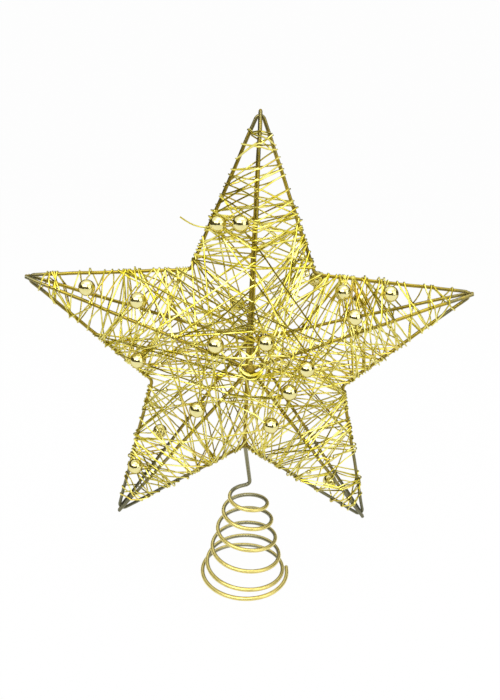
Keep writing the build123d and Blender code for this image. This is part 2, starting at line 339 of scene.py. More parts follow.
def joined(pieces, name):
    """One object made of several."""
    take(*pieces)
    bpy.ops.object.join()
    piece = bpy.context.object
    piece.name = name
    return piece


def wire(name, routes, diameter, sides, closed=False):
    """Round wire along one or more routes, as a mesh."""
    line = bpy.data.curves.new(name, "CURVE")
    line.dimensions = "3D"
    line.bevel_depth = diameter / 2
    line.bevel_resolution = sides // 2 - 2
    line.use_fill_caps = not closed
    for route in routes:
        spline = line.splines.new("POLY")
        spline.points.add(len(route) - 1)
        spline.points.foreach_set("co", [value for point in route for value in (*point, 1.0)])
        spline.use_cyclic_u = closed
    piece = bpy.data.objects.new(name, line)
    bpy.context.collection.objects.link(piece)
    take(piece)
    bpy.ops.object.convert(target="MESH")
    bpy.ops.object.shade_smooth_by_angle(angle=math.radians(50))
    return bpy.context.object


def fit(piece, body, material, node):
    """Gives a piece its finish and its body, and hides the node that it stands for."""
    piece.data.materials.clear()
    piece.data.materials.append(material)
    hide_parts(node)
    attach(piece, body)


class Value:
    """A shader socket. Arithmetic on it adds Math nodes."""

    def __init__(self, shading, socket):
        self.shading = shading
        self.socket = socket

    def math(self, operation, first, second):
        return self.shading.node("ShaderNodeMath", {0: first, 1: second}, operation=operation)

    def __add__(self, other):
        return self.math("ADD", self, other)

    def __sub__(self, other):
        return self.math("SUBTRACT", self, other)

    def __rsub__(self, other):
        return self.math("SUBTRACT", other, self)

    def __mul__(self, other):
        return self.math("MULTIPLY", self, other)

    __radd__ = __add__
    __rmul__ = __mul__

    def ramp(self, low, high):
        """Mask that rises from 0 at low to 1 at high."""
        sockets = {0: self, 1: low, 2: high, 3: 0.0, 4: 1.0}
        return self.shading.node("ShaderNodeMapRange", sockets, clamp=True)

    def blend(self, first, second):
        """Mix of two colours, with this value as the mask."""
        sockets = {0: self, 6: shade(first), 7: shade(second)}
        return self.shading.node("ShaderNodeMix", sockets, output=2, data_type="RGBA")


class Shading:
    """The node tree of one material or of the world."""

    def __init__(self, owner):
        owner.use_nodes = True
        self.tree = owner.node_tree
        self.tree.nodes.clear()

    def node(self, kind, values=None, output=0, **settings):
        """Adds a node: settings first, then the values or links of its sockets."""
        made = self.tree.nodes.new(kind)
        for name, setting in settings.items():
            setattr(made, name, setting)
        for name, value in (values or {}).items():
            if isinstance(value, Value):
                self.tree.links.new(value.socket, made.inputs[name])
            else:
                made.inputs[name].default_value = value
        return Value(self, made.outputs[output]) if made.outputs else None

    def place(self):
        """Where a point lies on the piece."""
        return self.node("ShaderNodeTexCoord", output=3)

    def noise(self, scale, detail=3.0, roughness=0.55):
        values = {"Vector": self.place(), "Scale": scale, "Detail": detail, "Roughness": roughness}
        return self.node("ShaderNodeTexNoise", values)

    def metal(self, tint, roughness, bump, bump_depth, metallic=1.0, coat=0.0, rim=WHITE):
        """Ends the tree in a metal of this tint, roughness and bump."""
        height = {"Strength": 1.0, "Distance": bump_depth, "Height": bump}
        sockets = {
            "Base Color": tint,
            "Roughness": roughness,
            "Metallic": metallic,
            "Specular Tint": rim,
            "Coat Weight": coat,
            "Coat Roughness": 0.10,
            "Normal": self.node("ShaderNodeBump", height),
        }
        surface = self.node("ShaderNodeBsdfPrincipled", sockets)
        self.node("ShaderNodeOutputMaterial", {"Surface": surface})


def shade(tint):
    return tint if isinstance(tint, Value) else (*tint, 1.0)


def finished(finish_maker):
    """The material of a finish, made once for all pieces that share it."""
    name = finish_maker.__name__
    material = bpy.data.materials.get(name)
    if material is None:
        material = bpy.data.materials.new(name)
        finish_maker(Shading(material))
    return material


def fine_gilt_wire(shading):
    """Bright drawn wire with deeper stretches and drawing marks."""
    stretches = shading.noise(105.0, 4.0).ramp(0.38, 0.60)
    warm = shading.noise(46.0, 3.0).ramp(0.56, 0.70)
    gold = stretches.blend(finish().fine_gold, finish().deep_gold)
    shading.metal(
        tint=(warm * 0.6).blend(gold, finish().amber),
        roughness=shading.noise(420.0) * 0.20 + 0.10,
        bump=shading.noise(2600.0, 2.0),
        bump_depth=0.00003,
        coat=0.6,
    )


def aged_gold_lacquer(shading):
    """Aged gold lacquer on steel, worn to grey at the tips, and greyer low on the star."""
    ends = {0: shading.place(), 1: tuple(centre())}
    reach = shading.node("ShaderNodeVectorMath", ends, output=1, operation="DISTANCE")
    height = shading.node("ShaderNodeSeparateXYZ", {"Vector": shading.place()}, output=2)
    rubbed = shading.noise(150.0, 6.0, 0.7)
    # Greyer lower on the star and further from its centre.
    low_greying = (rubbed + reach * 3.2 - height * 3.4).ramp(0.30, 0.62)
    tip_wear = (rubbed + reach * 9.0).ramp(1.50, 1.66)
    patches = shading.noise(60.0, 5.0).ramp(0.35, 0.68)
    lacquer = patches.blend(finish().frame_gold, finish().frame_brown)
    shading.metal(
        tint=(low_greying + tip_wear * 0.7).blend(lacquer, finish().pewter),
        roughness=shading.noise(260.0, 5.0) * 0.26 + 0.14,
        bump=shading.noise(900.0, 4.0) + shading.noise(240.0) * 0.7,
        bump_depth=0.00002,
        metallic=0.9,
    )


def satin_spring_lacquer(shading):
    """Satin gold lacquer on the spring, with painted shade greying the inner side of its turns, and greyer
    towards the top.
    """
    gold_with_shade = shading.node("ShaderNodeAttribute", output=2, attribute_name="gold_share_with_shade")
    gold = (gold_with_shade + shading.noise(120.0, 4.0) * 0.3).ramp(0.34, 0.66)
    streaks = shading.noise(190.0, 5.0, 0.65).ramp(0.40, 0.72)
    lacquer = (streaks * 0.35).blend(finish().spring_gold, finish().frame_gold)
    # Painted shade: where the attribute gives less gold, the coil shows steel grey.
    coil_with_painted_shade = gold.blend(finish().steel_and_shade_grey, lacquer)
    inside_star = gold_with_shade.ramp(1.2, 1.8)
    shading.metal(
        tint=inside_star.blend(coil_with_painted_shade, finish().frame_gold),
        roughness=shading.noise(310.0, 4.0) * 0.25 + 0.22,
        bump=shading.noise(1100.0, 4.0) + shading.noise(300.0) * 0.6,
        bump_depth=0.00006,
        metallic=0.92,
    )


def mirror_gilding(shading):
    """Mirror gilding with a faint orange-peel skin and tarnish."""
    tarnish = shading.noise(240.0, 5.0).ramp(0.48, 0.80)
    shading.metal(
        tint=(tarnish * 0.4).blend(finish().bead_gold, finish().deep_gold),
        roughness=shading.noise(380.0, 3.0) * 0.14 + 0.05,
        bump=shading.noise(700.0, 2.0),
        bump_depth=0.00010,
        rim=shade(finish().bead_rim),
    )


def lacquered_weld(shading):
    """Heat-darkened weld metal, brown with patches of gold lacquer."""
    patches = shading.noise(420.0, 5.0, 0.65).ramp(0.40, 0.65)
    shading.metal(
        tint=patches.blend(finish().weld_brown, finish().frame_gold),
        roughness=shading.noise(500.0, 4.0) * 0.35 + 0.3,
        bump=shading.noise(800.0, 6.0, 0.65),
        bump_depth=0.00035,
        metallic=0.85,
    )


class TOPPER_OT_frame_wires(bpy.types.Operator):
    """Bends the outline wire and sets the ten ridge rods"""

    bl_idname = "topper.frame_wires"
    bl_label = "Frame Wires"

    def execute(self, context):
        chance = random.Random(FRAME_SEED)
        material = finished(aged_gold_lacquer)
        diameter = star().wire_diameter
        corners = []
        for arm in range(ARM_COUNT):
            corners += [tip_corner(arm), notch_corner(arm)]
        line = rounded(corners, [star().tip_bend, star().notch_bend], closed=True)
        line = wavered(divided(line, ROD_STEP, closed=True), chance)
        outline = wire("outline_wire", [line], diameter, ROD_SIDES, closed=True)
        fit(outline, "star", material, "star_outline")
        # Five rods meet at an apex, and each one stops where it would touch its neighbours.
        stop = diameter / 2 / math.sin(math.pi / ARM_COUNT) + star().touch_gap
        for face in FACES:
            for arm, name in enumerate(ARM_NAMES):
                outer, inner = wire_ends(face, arm)
                inner = inner - (inner - outer).normalized() * stop
                line = wavered(divided([outer, inner], ROD_STEP), chance)
                rod = wire(f"{face}_ridge_rod_{name}", [line], diameter, ROD_SIDES)
                fit(rod, "star", material, f"{face}_ridge_{name}")
        return {"FINISHED"}


def spring_point(turn):
    """The middle of the spring's wire, some turns below its top."""
    angle = spring().start_angle + 2 * math.pi * turn
    taper = (turn / spring().turns) ** spring().taper_power
    radius = spring().top_radius + (spring().base_radius - spring().top_radius) * taper
    rise = min(turn / (spring().turns - spring().flat_turns), 1.0)
    eased = (1 - math.cos(math.pi * rise)) / 2
    drop = (1 - spring().ease_share) * rise + spring().ease_share * eased
    height = spring_top() - spring().height * drop
    return Vector((radius * math.cos(angle), radius * math.sin(angle), height))


def spring_line():
    """Points of the spring's wire, with a short straight at each end."""
    points = [spring_point(spring().turns * step / SPRING_STEPS) for step in range(SPRING_STEPS + 1)]
    first = (points[0] - points[1]).normalized() * spring().wire_diameter
    last = (points[-1] - points[-2]).normalized() * spring().wire_diameter
    return [points[0] + first] + points + [points[-1] + last]


def lay_gold_and_shade(piece):
    """Keeps each place's share of gold as an attribute: on the spring, painted shade gives the inner side
    of each turn less gold, and the turns grow greyer towards the top; the stem is bare below the lower
    notch and all gold inside the star.
    """
    even, outer, top_greying = 0.58, 0.42, 0.14
    bare_stem, gold_stem = 0.0, 2.0
    layer = piece.data.attributes.new("gold_share_with_shade", "FLOAT", "POINT")
    for vertex, gold_with_shade in zip(piece.data.vertices, layer.data):
        outside = Vector((vertex.co.x, vertex.co.y, 0)).normalized()
        # Painted shade: the inner side of each turn gets less gold than the outer side, so it shows grey.
        gold_with_shade.value = even + outer * vertex.normal.dot(outside) - top_greying * vertex.co.z / spring_top()
        if vertex.co.z > spring_top():
            gold_with_shade.value = gold_stem if vertex.co.z > notch_corner(LOWER_NOTCH).z else bare_stem


class TOPPER_OT_spring(bpy.types.Operator):
    """Coils the conical spring and grinds its base flat"""

    bl_idname = "topper.spring"
    bl_label = "Conical Spring"

    def execute(self, context):
        cap_gap, cut_tolerance = 0.00001, 0.000001
        piece = wire("spring_coil", [spring_line()], spring().wire_diameter, ROD_SIDES)
        bpy.ops.object.mode_set(mode="EDIT")
        bpy.ops.mesh.select_all(action="SELECT")
        bpy.ops.mesh.remove_doubles(threshold=cap_gap)
        bpy.ops.mesh.bisect(
            plane_co=(0, 0, 0), plane_no=(0, 0, 1), use_fill=True, clear_inner=True, threshold=cut_tolerance
        )
        bpy.ops.object.mode_set(mode="OBJECT")
        bpy.ops.object.shade_smooth_by_angle(angle=math.radians(30))
        lay_gold_and_shade(piece)
        fit(piece, "coil", finished(satin_spring_lacquer), "spring")
        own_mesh(piece)
        return {"FINISHED"}


class TOPPER_OT_stem(bpy.types.Operator):
    """Bends the stem from the spring up behind the lower notch to the back apex"""

    bl_idname = "topper.stem"
    bl_label = "Stem"

    def execute(self, context):
        head, first = spring_line()[:2]
        back = (head - first).normalized()
        # Room that keeps the pressed spring clear of the stem.
        room = 3 * star().touch_gap
        start = head + back * room
        foot = start + back * (spring().foot_bend * spring().foot_run_share)
        side = (star().wire_diameter + spring().wire_diameter) / 2 + star().touch_gap
        knee = notch_corner(LOWER_NOTCH) + Vector((0, side, 0))
        target = apex("back") + Vector((0, -spring().wire_diameter, 0))
        short_of_target = 0.0023
        top = target - (target - knee).normalized() * short_of_target
        line = rounded([start, foot, knee, top], [0, spring().foot_bend, spring().notch_bend])
        piece = wire("stem_wire", [divided(line, STEM_STEP)], spring().wire_diameter, ROD_SIDES)
        lay_gold_and_shade(piece)
        fit(piece, "star", finished(satin_spring_lacquer), "stem")
        return {"FINISHED"}


def blob(name, balls, grain):
    """Weld metal: overlapping balls run together, then roughened."""
    bpy.ops.object.select_all(action="DESELECT")
    parts = []
    for place, radius, stretch in balls:
        bpy.ops.mesh.primitive_ico_sphere_add(subdivisions=3, radius=radius, location=place)
        part = bpy.context.object
        if stretch is not None:
            along, factor = stretch
            part.rotation_mode = "QUATERNION"
            part.rotation_quaternion = along.to_track_quat("Z", "Y")
            part.scale = (1, 1, factor)
        parts.append(part)
    take(*parts)
    bpy.ops.object.transform_apply(location=True, rotation=True, scale=True)
    piece = joined(parts, name)
    lumps = bpy.data.textures.new(f"{name}_lumps", "CLOUDS")
    lumps.noise_scale = grain * 5
    rough = {"texture": lumps, "texture_coords": "LOCAL", "strength": grain * 1.6, "mid_level": 0.6}
    modifiers = {
        "REMESH": {"mode": "VOXEL", "voxel_size": grain},
        "SMOOTH": {"iterations": 3},
        "DISPLACE": rough,
    }
    for kind, settings in modifiers.items():
        modifier = piece.modifiers.new(kind.lower(), kind)
        for key, value in settings.items():
            setattr(modifier, key, value)
        bpy.ops.object.modifier_apply(modifier=modifier.name)
    bpy.ops.object.shade_smooth()
    return piece


def apex_balls(face, chance):
    """Weld metal where the ridge rods of a face meet, running out along each rod."""
    heart, run, run_stretch = 0.0027, 0.0015, 1.7
    nearest, furthest = 0.0020, 0.0030
    balls = [(apex(face), heart, None)]
    for arm in range(ARM_COUNT):
        outer, inner = wire_ends(face, arm)
        along = (outer - inner).normalized()
        balls.append((inner + along * chance.uniform(nearest, furthest), run, (along, run_stretch)))
    return balls


def stem_balls():
    """Weld metal between the lower notch and the stem behind it."""
    heart, heart_depth = 0.0022, 0.5
    upper, upper_depth, upper_rise = 0.0015, 0.9, 0.002
    run, run_depth, run_reach, run_stretch = 0.0013, 0.25, 0.0022, 1.6
    side = Vector((0, star().wire_diameter, 0))
    notch = notch_corner(LOWER_NOTCH)
    balls = [(notch + side * heart_depth, heart, None)]
    balls.append((notch + side * upper_depth + Vector((0, 0, upper_rise)), upper, None))
    for arm in LOWER_ARMS:
        along = (tip_corner(arm) - notch).normalized()
        balls.append((notch + along * run_reach + side * run_depth, run, (along, run_stretch)))
    return balls


def tip_balls():
    """Weld metal on the five tips, between the outline and its two ridge rods."""
    heart, heart_reach = 0.00098, 0.0001
    cheek, cheek_reach, cheek_side = 0.0008, 0.0004, 0.0011
    balls = []
    for arm in range(ARM_COUNT):
        tip = centre() + direction(arm) * (star().tip_radius + star().wire_diameter)
        balls.append((tip + direction(arm) * heart_reach, heart, None))
        for face in FACES.values():
            side = Vector((0, face * cheek_side, 0))
            balls.append((tip - direction(arm) * cheek_reach + side, cheek, None))
    return balls


class TOPPER_OT_welds(bpy.types.Operator):
    """Runs weld metal over the joints of the frame"""

    bl_idname = "topper.welds"
    bl_label = "Welds"

    def execute(self, context):
        chance = random.Random(WELD_SEED)
        material = finished(lacquered_weld)
        for face in FACES:
            piece = blob(f"{face}_apex_run", apex_balls(face, chance), WELD_GRAIN)
            fit(piece, "star", material, f"{face}_apex_weld")
        fit(blob("stem_run", stem_balls(), WELD_GRAIN), "star", material, "stem_weld")
        fit(blob("tip_runs", tip_balls(), TIP_GRAIN), "star", material, "tip_welds")
        return {"FINISHED"}


def bead_place(corners):
    """Centre and bore direction of a bead, read from the corners of its node."""
    middle = sum(corners, Vector()) / len(corners)
    offsets = [corner - middle for corner in corners]
    axes = range(3)
    rows = [[sum(part[row] * part[column] for part in offsets) for column in axes] for row in axes]
    moments = Matrix(rows)
    spread = moments[0][0] + moments[1][1] + moments[2][2]
    # The corners spread furthest along the bore, so any direction settles on it.
    along = Vector((0.3, 0.5, 0.8))
    for _ in range(60):
        along = (moments @ along / spread).normalized()
    return middle, along


def node_corners(name):
    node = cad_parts[name]
    return [node.matrix_world @ vertex.co for vertex in node.data.vertices]


def large_bead_places():
    names = sorted(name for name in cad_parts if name.startswith("bead_"))
    return {name: bead_place(node_corners(name)) for name in names}


def small_bead_places():
    """Places of the small beads, whose node holds them all."""
    reach = bead().small_diameter * 1.05
    groups = []
    for corner in node_corners("small_beads"):
        for group in groups:
            if (group[0] - corner).length < reach:
                group.append(corner)
                break
        else:
            groups.append([corner])
    return [bead_place(group) for group in groups]


def bored_ball(diameter, segments, rings):
    """A ball with a bore, along Z at the origin."""
    bore = bead().bore_radius
    mouth = bore * 0.95
    countersink = 0.97
    bpy.ops.object.select_all(action="DESELECT")
    bpy.ops.mesh.primitive_uv_sphere_add(
        segments=segments, ring_count=rings, radius=diameter / 2, location=(0, 0, 0)
    )
    piece = bpy.context.object
    bpy.ops.object.mode_set(mode="EDIT")
    bpy.ops.mesh.select_all(action="DESELECT")
    bpy.ops.object.mode_set(mode="OBJECT")
    rim = diameter
    for vertex in piece.data.vertices:
        radius = vertex.co.xy.length
        vertex.select = radius < mouth
        if not vertex.select:
            rim = min(rim, radius)
    bpy.ops.object.mode_set(mode="EDIT")
    bpy.ops.mesh.select_mode(type="VERT")
    bpy.ops.mesh.delete(type="VERT")
    bpy.ops.mesh.select_all(action="SELECT")
    bpy.ops.mesh.region_to_loop()
    bpy.ops.mesh.extrude_region_move()
    bpy.ops.transform.resize(value=(bore / rim, bore / rim, countersink))
    bpy.ops.mesh.bridge_edge_loops()
    bpy.ops.mesh.select_all(action="SELECT")
    bpy.ops.mesh.normals_make_consistent(inside=False)
    bpy.ops.object.mode_set(mode="OBJECT")
    bpy.ops.object.shade_smooth_by_angle(angle=math.radians(40))
    return piece


def threaded(pattern, name, place, chance):
    """Copy of a bead with its own mesh, set on its wire."""
    middle, along = place
    whole_turn = 6.28
    piece = bpy.data.objects.new(name, pattern.data.copy())
    bpy.context.collection.objects.link(piece)
    spin = Matrix.Rotation(chance.uniform(0, whole_turn), 4, "Z")
    aim = along.to_track_quat("Z", "Y").to_matrix().to_4x4() @ spin
    piece.matrix_world = Matrix.Translation(middle) @ aim
    take(piece)
    bpy.ops.object.transform_apply(location=True, rotation=True, scale=True)
    return piece


class TOPPER_OT_beads(bpy.types.Operator):
    """Threads the large and the small beads on the fine wire"""

    bl_idname = "topper.beads"
    bl_label = "Beads"

    def execute(self, context):
        chance = random.Random(BEAD_SEED)
        material = finished(mirror_gilding)
        pattern = bored_ball(bead().diameter, segments=40, rings=26)
        for name, place in large_bead_places().items():
            piece = threaded(pattern, f"gilt_{name}", place, chance)
            fit(piece, "star", material, name)
        bpy.data.objects.remove(pattern)
        pattern = bored_ball(bead().small_diameter, segments=20, rings=14)
        copies = []
        for index, place in enumerate(small_bead_places()):
            copies.append(threaded(pattern, f"small_gilt_bead_{index}", place, chance))
        bpy.data.objects.remove(pattern)
        fit(joined(copies, "small_gilt_beads"), "star", material, "small_beads")
        return {"FINISHED"}


def visit_point(visit):
    """Where the fine wire crosses a frame wire. A visit is a kind of wire, an arm, a place and a height."""
    kind, arm, place, _ = visit
    outer, inner = wire_ends(kind, arm)
    return outer.lerp(inner, place)


def square_to(vector, axis):
    return (vector - axis * vector.dot(axis)).normalized()


def wrapped(before, visit, after):
    """Points of the fine wire round one frame wire, and the outward direction there."""
    kind, arm, _, height = visit
    here = visit_point(visit)
    outer, inner = wire_ends(kind, arm)
    axis = (inner - outer).normalized()
    arriving = square_to(here - visit_point(before), axis)
    leaving = square_to(visit_point(after) - here, axis)
    outward = (arriving - leaving).normalized()
    travel = (arriving + leaving).normalized()
    turn = arriving.angle(leaving)
    reach = (star().wire_diameter + net().wire_diameter) / 2 + net().seat_gap + height
    steps = WRAP_STEPS[kind]
    points = []
    for step in range(steps + 1):
        angle = turn * (step / steps - 0.5)
        points.append(here + (outward * math.cos(angle) + travel * math.sin(angle)) * reach)
    return points, outward


def strand(start, end, chance):
    """Inner points of a strand, a little slack and crimped."""
    count = max(2, round((end - start).length / net().strand_step))
    along = (end - start).normalized()
    bow = Vector([chance.gauss(0, net().slack) for _ in range(3)])
    points = []
    for step in range(1, count):
        crimp = Vector([chance.gauss(0, net().crimp) for _ in range(3)])
        shift = bow * math.sin(math.pi * step / count) + crimp
        points.append(start.lerp(end, step / count) + shift - along * shift.dot(along))
    return points


def bead_bump(start, end, place, lift, diameter):
    """Points that carry a strand up through a bead lying on the net, and the middle of that bead."""
    along = (end - start).normalized()
    foot = start.lerp(end, place)
    height = net().wire_diameter / 2 + bead().seat_gap + diameter / 2
    half = diameter / 2 + bead().end_straight
    spread = half + height * bead().ramp_share
    first = min(spread, (foot - start).length * bead().ramp_share)
    last = min(spread, (end - foot).length * bead().ramp_share)
    middle = foot + lift * height
    return [foot - along * first, middle - along * half, middle + along * half, foot + along * last], middle


def beads_on(start, end, outward, places):
    """Bumps of the beads that a strand carries, in their order along it."""
    along = (end - start).normalized()
    lift = square_to(outward, along)
    span = (end - start).length
    furthest = bead().small_diameter * 0.3
    found = []
    for (middle, _), diameter in places:
        way = (middle - start).dot(along) / span
        if 0 < way < 1:
            bump, top = bead_bump(start, end, way, lift, diameter)
            shift = middle - top
            if shift.length < furthest:
                found.append((way, [bump[0], bump[1] + shift, bump[2] + shift, bump[3]]))
    return [bump for _, bump in sorted(found, key=lambda pair: pair[0])]


def pushed_out(point, places):
    """A point kept clear of the beads."""
    for (middle, _), diameter in places:
        away = point - middle
        clear = diameter / 2 + net().wire_diameter
        if 0 < away.length < clear:
            point = middle + away.normalized() * clear
    return point


def wound(visits, chance, places, threads=False):
    """Route of a wound wire. The first and last visits only steer its ends."""
    wraps = [wrapped(*visits[index - 1 : index + 2]) for index in range(1, len(visits) - 1)]
    route = []
    for index, (points, outward) in enumerate(wraps):
        route += points
        if index + 1 == len(wraps):
            break
        next_points, next_outward = wraps[index + 1]
        bumps = []
        if threads:
            bumps = beads_on(points[-1], next_points[0], outward + next_outward, places)
        for bump in bumps:
            route += bump
        if not bumps:
            route += [pushed_out(point, places) for point in strand(points[-1], next_points[0], chance)]
    return route


def even_arm_visits(arm):
    """Two even passes round one arm, out to its tip and back over the first."""
    order = ["left", "front", "right", "back"]
    shares = {"left": (0.16, 0.73), "right": (0.16, 0.73), "front": (0.12, 0.60), "back": (0.12, 0.60)}
    steps = net().arm_loops * len(order)
    visits = []
    for step in range(-1, 2 * steps + 4):
        kind = order[step % len(order)]
        outward_pass = step <= steps
        progress = 1 - step / steps if outward_pass else (step - 2) / steps - 1
        progress = max(0.0, min(1.0, progress))
        low, high = shares[kind]
        wave = math.sin(math.pi * progress) * math.sin(2 * math.pi * progress + arm)
        sign = 1 if (kind in ("left", "back")) == outward_pass else -1
        lean = net().skew_share * wave * sign
        height = 0.0 if outward_pass else net().pass_step
        visits.append((kind, arm, low + (high - low) * progress + lean, height))
    return visits


def even_centre_visits(first_notch):
    """Even loops round the bases of two neighbouring arms."""
    near, far = (first_notch + 1) % ARM_COUNT, (first_notch + 2) % ARM_COUNT
    order = [
        ("left", near, (0.77, 0.965)),
        ("front", near, (0.60, 0.745)),
        ("front", far, (0.81, 0.92)),
        ("right", far, (0.77, 0.965)),
        ("back", far, (0.81, 0.92)),
        ("back", near, (0.60, 0.745)),
    ]
    steps = net().centre_loops * len(order)
    visits = []
    for step in range(-1, steps + 2):
        kind, arm, (low, high) = order[step % len(order)]
        progress = max(0.0, min(1.0, step / steps))
        visits.append((kind, arm, low + (high - low) * progress, 0.0))
    return visits


def threaded_routes(visits, chance, places):
    """The stretches of an even winding that carry beads, each with the strands beside it."""
    carrying = set()
    for index in range(1, len(visits) - 2):
        points, outward = wrapped(*visits[index - 1 : index + 2])
        next_points, next_outward = wrapped(*visits[index : index + 3])
        if beads_on(points[-1], next_points[0], outward + next_outward, places):
            carrying.update(range(index - 1, index + 3))
    routes = []
    run = []
    for index in range(len(visits) + 1):
        if index in carrying:
            run.append(index)
        elif run:
            first, last = max(run[0] - 1, 0), min(run[-1] + 2, len(visits))
            routes.append(wound(visits[first:last], chance, places, threads=True))
            run = []
    return routes


def flat_line(start, end):
    """Where a strand leaves the outline, in the star's plane from its centre, and how far it runs."""
    flat = []
    for kind, arm, place in (start, end):
        outer, inner = wire_ends(kind, arm)
        flat.append(outer.lerp(inner, place) - centre())
    return flat[0].x, flat[0].z, flat[1].x - flat[0].x, flat[1].z - flat[0].z


def within_star(x, z):
    """True where a point of the star's plane lies inside the outline."""
    margin = 0.998
    half_turn = math.pi / ARM_COUNT
    outer = (tip_corner(0) - centre()).length
    inner = star().notch_radius
    bearing = math.atan2(x, z) % (2 * half_turn)
    bearing = min(bearing, 2 * half_turn - bearing)
    edge = outer * math.sin(bearing) + inner * math.sin(half_turn - bearing)
    return math.hypot(x, z) * edge < outer * inner * math.sin(half_turn) * margin


def chord_visits(start, end, face):
    """Ridges that a wire pulled straight between two places of the outline bears on."""
    looks, parallel, end_share, last_place = 20, 1e-9, 0.02, 0.962
    x, z, run_x, run_z = flat_line(start, end)
    along = Vector((run_x, 0, run_z)).normalized()
    for kind, arm, _ in (start, end):
        outer, inner = wire_ends(kind, arm)
        if abs(along.dot((inner - outer).normalized())) > net().least_slant:
            return None
    for look in range(1, looks):
        way = look / looks
        if not within_star(x + run_x * way, z + run_z * way):
            return None
    reach = star().tip_radius + star().ridge_overhang
    foot = star().wire_diameter
    crossings = [(0.0, 0.0, None), (1.0, 0.0, None)]
    for arm in range(ARM_COUNT):
        out = direction(arm)
        cross = run_x * out.z - run_z * out.x
        if abs(cross) < parallel:
            continue
        way = (z * out.x - x * out.z) / cross
        radius = (x + run_x * way) * out.x + (z + run_z * way) * out.z
        if end_share < way < 1 - end_share and 0 < radius < reach:
            place = min(1 - radius / reach, last_place)
            crossings.append((way, foot + (star().apex_height - foot) * place, (face, arm, place)))
    crossings.sort(key=lambda crossing: crossing[0])
    hull = []
    for crossing in crossings:
        while len(hull) > 1:
            (way_a, high_a, _), (way_b, high_b, _) = hull[-2:]
            if (high_b - high_a) * (crossing[0] - way_a) > (crossing[1] - high_a) * (way_b - way_a):
                break
            hull.pop()
        hull.append(crossing)
    return [visit for _, _, visit in hull if visit]


def crossed_squares(start, end, face):
    """Squares of the star's plane that a strand crosses on one face."""
    x, z, run_x, run_z = flat_line(start, end)
    size = net().square
    steps = math.ceil(2 * math.hypot(run_x, run_z) / size)
    ways = [step / steps for step in range(1, steps)]
    return {(face, round((x + run_x * way) / size), round((z + run_z * way) / size)) for way in ways}


def free_visits(sides, chords, chance, laid, slope=None):
    """A wire pulled from side to side of the outline, by turns over the front and the back.

    Of a few ways that are looked at, each strand takes the one where the net is most open.
    """

    def pick():
        kind, arm, low, high = chance.choice(sides)
        return kind, arm, chance.uniform(low, high)

    def beside(side):
        kind, arm, place = side
        return kind, arm, place + chance.choice((-1, 1)) * net().twin_share

    def offer(here, there, face):
        if there[:2] == here[:2] or (slope and abs(there[2] - here[2]) > slope):
            return None
        ridges = chord_visits(here, there, face)
        if not ridges:
            return None
        squares = crossed_squares(here, there, face)
        crowd = sum(laid.get(square, 0) for square in squares) / max(1, len(squares))
        return crowd, there, ridges, squares

    here = pick()
    visits = [here]
    faces = ["front", "back"]
    planned = []
    while chords:
        offers = []
        if planned:
            offers = [found for found in [offer(here, planned.pop(0), faces[0])] if found]
        while not offers or (not planned and len(offers) < net().offers):
            found = offer(here, pick(), faces[0])
            if found:
                offers.append(found)
        _, there, ridges, squares = min(offers, key=lambda found: found[0])
        for square in squares:
            laid[square] = laid.get(square, 0) + 1
        visits += ridges + [there]
        if not planned and faces[0] == "front" and chance.random() < net().twin_chance:
            planned = [beside(here), beside(there)]
        here = there
        faces.reverse()
        chords -= 1
    return [(*visit, chance.uniform(0.0, net().lay)) for visit in visits]


def apex_hank(chance):
    """A small hank of the fine wire, bunched in a crescent under the front apex."""
    passes, steps = 9, 12
    first_angle, sweep = 188, 158
    radius, width, flatness = 0.0062, 0.0034, 0.85
    belly, scatter = 0.0009, 0.0001
    middle = apex("front") + Vector((0.0004, -0.0016, 0.0022))
    points = []
    for turn in range(passes):
        spread = (turn / (passes - 1) - 0.5) * width
        order = range(steps + 1) if turn % 2 else range(steps, -1, -1)
        for step in order:
            way = step / steps
            angle = math.radians(first_angle + sweep * way)
            swell = math.sin(math.pi * way)
            reach = radius + spread * swell + chance.gauss(0, scatter)
            depth = -belly * swell * (1 + (turn % 3)) + chance.gauss(0, scatter)
            side, rise = reach * math.cos(angle), reach * flatness * math.sin(angle)
            points.append(middle + Vector((side, depth, rise)))
    return points


def loose_end(chance, places):
    """The first strands of the top arm's wire, with its free end standing out to the left."""
    crossings, steps = 6, 6
    lift, sag, lean = 0.34, 0.10, 0.02
    route = wound(even_arm_visits(0)[:crossings], chance, places)
    end = []
    for step in range(steps, 0, -1):
        way = step / steps
        rise = lift * way - sag * math.sin(math.pi * way)
        end.append(route[0] + Vector((-way, lean * way, rise)) * net().free_end)
    return end + route


